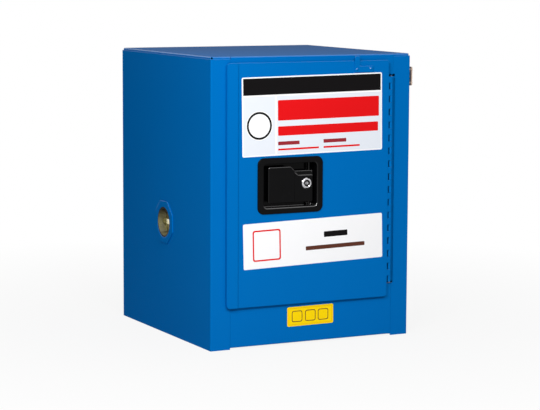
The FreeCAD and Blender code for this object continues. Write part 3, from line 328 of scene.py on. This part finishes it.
def metal(name, dull, bright, roughness, marks=60.0, grain=None, edge=0.0003, metallic=1.0):
    """A metal whose tone drifts between two colours, with fine marks in its polish."""
    finish = Finish(name, metallic=metallic)
    finish.use("Base Color", finish.blend(finish.noise(marks, 3.0), dull, bright))
    scratches = finish.noise(POLISH_SCALE, stretch=grain)
    finish.use("Roughness", scratches * POLISH_SPREAD + (roughness - POLISH_SPREAD / 2))
    finish.relief(scratches, MARK_DEPTH, edge=edge)
    return finish.material


zinc = metal("zinc_plate", shade(150, 152, 156), shade(190, 192, 194), 0.36)
spring_wire = metal("spring_wire", shade(96, 98, 102), shade(134, 136, 140), 0.34, grain=(1, 1, 8))
screen_steel = metal("screen_steel", shade(120, 122, 120), shade(158, 160, 156), 0.42)
tinned_brass = metal(
    "tinned_brass", shade(176, 130, 96), shade(250, 236, 222), 0.34, marks=160.0, metallic=0.4
)
print("metals:", [m.name for m in (zinc, spring_wire, screen_steel, tinned_brass)])

# %% [markdown]
# The vent plugs are zinc plated and dipped in yellow chromate. The film is thin, so its
# colour wanders from black over olive to a pale straw. It ran down as it drained, which drew
# it out in upright streaked bands; the pale bands also carry painted reflections of the cup's
# inside. The upper part of the cup is darkened with painted shade, and the rim is made dark and dull.
# Noise that is drawn out upwards gives the bands.

# %% Yellow chromate
def yellow_chromate(name):
    """Streaked straw-coloured plating with painted reflections, dark and dull at the rim, and painted
    shade towards the top of the cup.
    """
    rim_radius, rim_fade = 0.0262, 0.0012
    dark_height, dark_fade = 0.006, 0.018
    finish = Finish(name, specular=0.2)
    low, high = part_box("vent_plug_left")
    middle = (low + high) / 2
    away = finish.distance(middle, flatten=(0, 1, 1))
    # the rim of the plug is made dark, dull and less metallic
    rim = finish.clamp((away - rim_radius) / rim_fade)
    # painted shade: the upper part of the cup is darkened
    height = finish.along("Z", finish.place())
    above = finish.clamp((height - (middle.z + dark_height)) / dark_fade)
    # upright bands of drained chromate that also carry painted reflections of the cup's inside
    streaks_and_reflections = finish.clamp(finish.noise(70.0, 3.0, stretch=(0.2, 1.6, 0.35)) * 5.0 - 1.2)
    tone = streaks_and_reflections * (1 - above * 0.85) * (1 - rim)
    pale = finish.blend(finish.noise(60.0), shade(222, 212, 110), shade(252, 248, 236))
    finish.use("Base Color", finish.blend(tone, shade(14, 10, 5), pale))
    finish.use("Metallic", 1 - rim * 0.9)
    finish.use("Roughness", finish.noise(400.0) * 0.12 + rim * 0.5 + 0.14)
    finish.relief(finish.noise(400.0), MARK_DEPTH, edge=0.0003)
    return finish.material


chromate = yellow_chromate("yellow_chromate")
print("made", chromate.name)

# %% [markdown]
# The lock's face is chrome-plated too. Its colour carries painted reflections: the
# bevel and the centre are painted bright and the dished ring between them dark. The
# distance from the lock's own axis tells them apart.

# %% Chrome of the lock
def lock_chrome(name):
    """Chrome with painted reflections: bright and dark rings about the lock's axis."""
    bevel_radius, core_radius, fade = 0.0062, 0.0034, 0.0010
    finish = Finish(name, metallic=1.0)
    low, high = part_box("lock_plug")
    away = finish.distance((low + high) / 2, flatten=(1, 0, 1))
    # painted reflections: the bevel and the centre are painted bright, the ring between them dark
    bevel = finish.clamp((away - bevel_radius) / fade)
    core_highlight = finish.clamp((core_radius - away) / fade)
    smudge = finish.noise(230.0, 3.0)
    tone = finish.clamp(bevel * (smudge * 1.3) + core_highlight * (0.15 + smudge))
    finish.use("Base Color", finish.blend(tone, shade(30, 28, 28), shade(238, 238, 242)))
    finish.use("Roughness", finish.noise(500.0) * 0.10 + 0.10)
    finish.relief(finish.noise(500.0), MARK_DEPTH, edge=0.0004)
    return finish.material


chrome = lock_chrome("chrome_plate")
print("made", chrome.name)

# %% [markdown]
# ## Galvanised sheet
# The shelf is cut from hot-dip galvanised sheet. The zinc freezes in crystals about
# a centimetre wide, each a slightly different grey: that is the spangle. Voronoi
# cells are just such a patchwork.

# %% Spangled zinc
def spangled_zinc(name):
    """Grey crystals that differ in tone and polish."""
    crystals_per_metre = 110.0
    finish = Finish(name, metallic=1.0)
    where = {"Vector": finish.place(), "Scale": crystals_per_metre}
    cell = finish.add("ShaderNodeTexVoronoi", values=where, output="Color")
    tone = finish.add("ShaderNodeSeparateColor", values={0: cell})
    finish.use("Base Color", finish.blend(tone, shade(136, 140, 144), shade(186, 190, 194)))
    finish.use("Roughness", tone * 0.12 + finish.noise(300.0) * 0.10 + 0.30)
    finish.relief(finish.noise(260.0), 0.000006, edge=0.0004)
    return finish.material


galvanised = spangled_zinc("galvanised_sheet")
print("made", galvanised.name)

# %% [markdown]
# ## Rubber and printed vinyl
# Each vent plug presses on a rubber ring: black, dull and slightly dusty. The
# stickers are thin vinyl, printed and then laminated, so ink and bare vinyl share one
# soft gloss, and the film follows tiny waves in the paint below.

# %% Rubber and vinyl
def rubber(name):
    """Dull black rubber with a dusty bloom."""
    finish = Finish(name)
    finish.use("Base Color", finish.blend(finish.noise(140.0, 4.0), shade(24, 24, 26), shade(44, 43, 42)))
    finish.use("Roughness", finish.noise(600.0) * 0.15 + 0.62)
    finish.relief(finish.noise(1200.0), 0.00002, edge=0.0003)
    return finish.material


def vinyl(name, colour):
    """Laminated vinyl in one ink."""
    finish = Finish(name, specular=0.0, coat=0.10, coat_roughness=0.25)
    finish.use("Base Color", finish.blend(finish.noise(12.0, 3.0), toned(colour, 0.975), colour))
    finish.use("Roughness", finish.noise(80.0) * 0.08 + 0.30)
    finish.relief(finish.noise(55.0, 2.0), 0.00002)
    return finish.material


gasket_rubber = rubber("gasket_rubber")
white_ink = vinyl("vinyl_white", shade(250, 250, 251))
grey_ink = vinyl("vinyl_pale_grey", shade(228, 233, 241))
black_ink = vinyl("vinyl_black", shade(16, 14, 15))
red_ink = vinyl("vinyl_red", shade(226, 22, 26))
dark_red_ink = vinyl("vinyl_dark_red", shade(150, 44, 52))
yellow_ink = vinyl("vinyl_yellow", shade(255, 217, 8))
amber_ink = vinyl("vinyl_amber", shade(236, 160, 20))
brown_ink = vinyl("vinyl_brown", shade(92, 52, 40))
print("inks ready")

# %% [markdown]
# ## Put the finishes on
# Every CAD piece keeps its shape and only changes its material. One table says which
# finish covers which pieces, as a paint shop's list would.

# %% Which piece has which finish
SURFACES = {
    cabinet_paint: [
        "side_panel_left", "side_panel_right", "top_panel", "kick_panel", "back_panel", "base_panel",
        "door_skin", "door_bracket", "bracket_rivets", "vent_flange_left", "vent_flange_right",
    ],
    hinge_paint: ["hinge_frame_leaf", "hinge_door_leaf"],
    liner_paint: [
        "liner_left", "liner_right", "liner_back", "liner_top", "sump_pan", "door_inner_pan",
    ],
    galvanised: ["shelf", "shelf_uprights"],
    latch_black: ["latch_dish", "paddle", "paddle_pin"],
    chrome: ["lock_cylinder", "lock_plug"],
    zinc: [
        "shelf_clips", "dish_nuts", "lock_nut", "lock_cam", "rocker",
        "latch_bolt", "bolt_collar", "bolt_bracket", "bolt_bush", "strike_plate", "strike_screws",
        "link_posts", "link_screws", "earth_stud", "earth_washer", "earth_nut",
    ],
    spring_wire: ["paddle_spring", "rocker_clip", "bolt_spring", "hinge_pin"],
    screen_steel: ["vent_screen_left", "vent_screen_right"],
    chromate: ["vent_plug_left", "vent_plug_right"],
    gasket_rubber: ["vent_gasket_left", "vent_gasket_right"],
    tinned_brass: ["fusible_link"],
}
dressed = 0
for material, names in SURFACES.items():
    for name in names:
        for slot in frame["nodes"][name].material_slots:
            slot.material = material
        dressed += 1
print("dressed", dressed, "of", len(frame["nodes"]), "CAD pieces; the stickers come next")

# %% [markdown]
# ## The bolt's spring
# When the paddle is pulled, the bolt slides into the door and its spring shortens. A
# rigid coil cannot do that: the collar would pass through its first turn. So a copy of
# the coil stands for it, riding on the door in place of the CAD coil. The copy keeps
# its full length; only how far it would shorten is worked out and printed.

# %% A new object in the scene
def new_object(name, data):
    """An object with the given data, put into the scene."""
    thing = bpy.data.objects.new(name, data)
    bpy.context.scene.collection.objects.link(thing)
    return thing


# %% A copy of the spring
def squeezed_spring(name, node, body, joint):
    """A copy of a coil that moves with a body in place of the CAD piece; it is not shortened."""
    low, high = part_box(node)
    travel = next(row["range_m"][1] for row in frame["joints"] if row["name"] == joint)
    data = frame["nodes"][node].data.copy()
    data.name = name
    piece = new_object(name, data)
    for slot in piece.material_slots:
        slot.material = spring_wire
    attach(piece, body)
    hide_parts(node)
    length = high.x - low.x
    (length - travel) / length
    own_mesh(piece)
    print(name, "shortens from", round(length * 1000, 2), "by", round(travel * 1000, 2), "mm")
    return piece


squeezed_spring("latch_spring", "bolt_spring", "door", "bolt_slide")

# %% [markdown]
# ## The stickers
# Three vinyl stickers carry blocks of flat colour. A picture could hold them, but its
# edges would blur close up. Stacked thin plates would flicker where they lie too close.
# So each sticker is one flat sheet that is cut along the outlines of its colours: a
# constrained triangulation keeps every outline exactly, and each triangle takes the
# colour of the last shape that covers it. No print is thicker than another.

# %% Outlines in millimetres, seen from the front
def rounded_box(left, bottom, right, top, radius, steps=6):
    """The outline of a rectangle with round corners."""
    corners = [
        (right - radius, top - radius, 0), (left + radius, top - radius, 90),
        (left + radius, bottom + radius, 180), (right - radius, bottom + radius, 270),
    ]
    outline = []
    for u, v, start in corners:
        for i in range(steps + 1):
            turn = math.radians(start + 90 * i / steps)
            outline.append((u + radius * math.cos(turn), v + radius * math.sin(turn)))
    return outline


def disc(u, v, radius, steps=48):
    """The outline of a circle."""
    turns = [2 * math.pi * i / steps for i in range(steps)]
    return [(u + radius * math.cos(t), v + radius * math.sin(t)) for t in turns]


print("a rounded box has", len(rounded_box(0, 0, 10, 5, 1)), "points")


# %% Cut a sheet along its shapes
def cut_along(shapes):
    """Cuts a stack of outlines into triangles, and says which outlines cover each one."""
    points, loops = [], []
    for outline, _ in shapes:
        first = len(points)
        points += [Vector(p) for p in outline]
        loops.append(list(range(first, len(points))))
    with_holes_filled, closeness = 1, 1e-5
    found = delaunay_2d_cdt(points, [], loops, with_holes_filled, closeness)
    return found[0], found[2], found[5]


def thicken_edge(mesh, back):
    """Draws the sheet's outer edge back to the surface below it."""
    rim = [edge for edge in mesh.edges if edge.is_boundary]
    grown = bmesh.ops.extrude_edge_only(mesh, edges=rim)["geom"]
    for vert in [g for g in grown if isinstance(g, bmesh.types.BMVert)]:
        vert.co.y = back
    bmesh.ops.recalc_face_normals(mesh, faces=mesh.faces)


print("a cut square has", len(cut_along([(rounded_box(0, 0, 9, 9, 1), None)])[1]), "triangles")


# %% A sticker from a stack of coloured outlines
MILLIMETRES = 1000


def sticker(name, node, body, tilt, shapes):
    """A flat sheet cut along its shapes, tilted about its middle, with a thin edge all round."""
    low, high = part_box(node)
    middle = (low + high) / 2
    corners, triangles, sources = cut_along(shapes)
    inks = list(dict.fromkeys(ink for _, ink in shapes))
    mesh = bmesh.new()
    turn = math.radians(tilt)
    spots = []
    for u, v in corners:
        x = (u * math.cos(turn) - v * math.sin(turn)) / MILLIMETRES
        z = (u * math.sin(turn) + v * math.cos(turn)) / MILLIMETRES
        spots.append(mesh.verts.new((middle.x + x, low.y, middle.z + z)))
    for triangle, source in zip(triangles, sources):
        face = mesh.faces.new([spots[i] for i in triangle])
        face.material_index = inks.index(shapes[max(source)][1])
        face.normal_update()
        if face.normal.y > 0:
            face.normal_flip()
    thicken_edge(mesh, high.y)
    data = bpy.data.meshes.new(name)
    mesh.to_mesh(data)
    mesh.free()
    for ink in inks:
        data.materials.append(ink)
    piece = new_object(name, data)
    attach(piece, body)
    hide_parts(node)
    print(name, len(data.polygons), "faces,", len(inks), "inks")
    return piece


# %% [markdown]
# The upper sticker has a black band over a grey field with a ring, and plain red bars.
# The lower one is white with a red frame and two dark bars. The small yellow one has
# a darker border line and three outlined shapes.

# %% Upper sticker
upper = [
    (rounded_box(-151.8, -75.4, 151.8, 75.4, 3), white_ink),
    (rounded_box(-149, 41, 149, 73, 0.5), black_ink),
    (rounded_box(-149, -73, -82, 38, 0.5), grey_ink),
    (disc(-115.5, -17, 28), white_ink),
    (disc(-115.5, -17, 26.5), black_ink),
    (disc(-115.5, -17, 22.5), white_ink),
    (rounded_box(-78, -73, 149, 38, 0.5), grey_ink),
    (rounded_box(-76, -9, 145, 30, 2), red_ink),
    (rounded_box(-76, -38, 143, -20, 2), red_ink),
    (rounded_box(-76, -56, -30, -49, 1), dark_red_ink),
    (rounded_box(22, -56, 72, -49, 1), dark_red_ink),
    (rounded_box(-76, -66, 12, -62.5, 1), red_ink),
    (rounded_box(22, -66, 102, -62.5, 1), red_ink),
]
sticker("door_sticker_upper", "upper_sticker", "door", 0.8, upper)

# %% Lower sticker
lower = [
    (rounded_box(-151.8, -43.8, 151.8, 43.8, 3), white_ink),
    (rounded_box(-132, -30, -72, 30, 5), red_ink),
    (rounded_box(-129, -27, -75, 27, 3), white_ink),
    (rounded_box(22, 6, 74, 17, 1.5), black_ink),
    (rounded_box(-18, -17, 112, -9, 1.5), brown_ink),
]
sticker("door_sticker_lower", "lower_sticker", "door", 1.3, lower)

# %% Yellow sticker under the door
small = [
    (rounded_box(-50.5, -19, 50.5, 19, 3), yellow_ink),
    (rounded_box(-47.6, -16.2, 47.6, 16.2, 2), amber_ink),
    (rounded_box(-46.9, -15.5, 46.9, 15.5, 1.6), yellow_ink),
]
for centre in (-29, 0, 28):
    small.append((rounded_box(centre - 11.5, -11, centre + 11.5, 11, 4), brown_ink))
    small.append((rounded_box(centre - 10, -9.5, centre + 10, 9.5, 3), yellow_ink))
sticker("kick_sticker_yellow", "kick_sticker", "cabinet", 0.4, small)

# %% [markdown]
# ## Floor and light
# The cabinet stands on a white sweep, as for a catalogue. The camera should see the
# floor as pure white, yet the cabinet needs its contact shadow. So the floor's
# material shows the camera mostly a plain white glow and a little of its real
# shading. A soft lamp high in front, a little to the left, and a weaker one further
# to the left give the front an even tone and leave the left side a step darker.

# %% The floor
FLOOR_HALF_SIZE = 8.0
FLOOR_STEPS = 16
SHADOW_SHARE = 0.14         # how much of its real shading the floor shows
SHADOW_REACH = 1.3          # how far from the cabinet that fades out


def floor_finish():
    """White to the camera, apart from a soft shadow near the cabinet."""
    finish = Finish("floor_white", roughness=0.9)
    finish.use("Base Color", finish.blend(finish.noise(0.7), (0.56, 0.56, 0.56, 1), (0.60, 0.60, 0.60, 1)))
    glow = finish.add("ShaderNodeEmission", values={"Color": (1, 1, 1, 1), "Strength": 1.0})
    far = finish.clamp(finish.distance((0, 0, 0)) / SHADOW_REACH)
    share = finish.seen_directly() * (SHADOW_SHARE * far + (1 - SHADOW_SHARE))
    lit = Wire(finish, finish.shader.outputs[0])
    mixed = finish.add("ShaderNodeMixShader", values={0: share, 1: lit, 2: glow})
    finish.feed(finish.tree.nodes["Material Output"].inputs["Surface"], mixed)
    return finish.material


def white_floor():
    """A large flat sheet under the cabinet."""
    mesh = bmesh.new()
    lines = [(i / FLOOR_STEPS * 2 - 1) * FLOOR_HALF_SIZE for i in range(FLOOR_STEPS + 1)]
    grid = [[mesh.verts.new((u, v, 0.0)) for v in lines] for u in lines]
    for i in range(FLOOR_STEPS):
        for j in range(FLOOR_STEPS):
            mesh.faces.new((grid[i][j], grid[i + 1][j], grid[i + 1][j + 1], grid[i][j + 1]))
    data = bpy.data.meshes.new("floor")
    mesh.to_mesh(data)
    mesh.free()
    floor = new_object("floor", data)
    data.materials.append(floor_finish())
    return floor


print("floor laid:", len(white_floor().data.polygons), "squares")


# %% The world and the lamps
def white_world(level):
    """An even dim surround that the camera, mirrors and glass see as white."""
    world = bpy.data.worlds.new("studio")
    world.use_nodes = True
    bpy.context.scene.world = world
    sky = Graph(world.node_tree)
    white = (1, 1, 1, 1)
    surround = sky.add("ShaderNodeBackground", values={"Color": white, "Strength": level})
    seen = sky.add("ShaderNodeBackground", values={"Color": white, "Strength": 1.0})
    mixed = sky.add("ShaderNodeMixShader", values={0: sky.seen_directly(), 1: surround, 2: seen})
    sky.feed(sky.tree.nodes["World Output"].inputs["Surface"], mixed)


def soft_lamp(name, place, target, size, power):
    """A square soft box that faces a point."""
    lamp = bpy.data.lights.new(name, "AREA")
    lamp.shape = "RECTANGLE"
    lamp.size, lamp.size_y = size
    lamp.energy = power
    holder = new_object(name, lamp)
    holder.location = place
    way = Vector(target) - Vector(place)
    holder.rotation_euler = way.to_track_quat("-Z", "Y").to_euler()
    return holder


white_world(0.08)
cabinet_middle = (0.0, 0.0, 0.28)
soft_lamp("key_lamp", (-0.5, -3.0, 2.1), cabinet_middle, (0.8, 0.6), 51.0)
soft_lamp("side_lamp", (-1.2, -1.35, 1.25), cabinet_middle, (0.8, 0.8), 25.0)

# %% [markdown]
# ## The camera
# The photograph was taken from far away with a long lens, a little above the cabinet
# and from its left. The numbers come from a camera that was fitted to the corners of
# the shell: where it looks, from which direction, how far away, and its focal length.

# %% Camera
AZIMUTH, ELEVATION, ROLL = math.radians(-26.765), math.radians(7.021), math.radians(0.272)
TARGET = Vector((0.018, 0.0, 0.2446))
DISTANCE = 3.99
FOCAL_PIXELS = 1959.6
IMAGE_WIDTH = 540
SENSOR = 36.0
FARTHEST = 100.0

backward = Vector((
    math.sin(AZIMUTH) * math.cos(ELEVATION), -math.cos(AZIMUTH) * math.cos(ELEVATION), math.sin(ELEVATION)
))
level_right = Vector((math.cos(AZIMUTH), math.sin(AZIMUTH), 0))
level_up = backward.cross(level_right)
rightward = level_right * math.cos(ROLL) + level_up * math.sin(ROLL)
upward = level_up * math.cos(ROLL) - level_right * math.sin(ROLL)
lens = bpy.data.cameras.new("camera")
lens.sensor_width = SENSOR
lens.lens = FOCAL_PIXELS * SENSOR / IMAGE_WIDTH
lens.clip_end = FARTHEST
camera = new_object("camera", lens)
turn = Matrix((rightward, upward, backward)).transposed().to_4x4()
camera.matrix_world = Matrix.Translation(TARGET + backward * DISTANCE) @ turn
bpy.context.scene.camera = camera
bpy.context.scene.view_settings.view_transform = "Standard"
print("lens", round(lens.lens, 2), "mm")
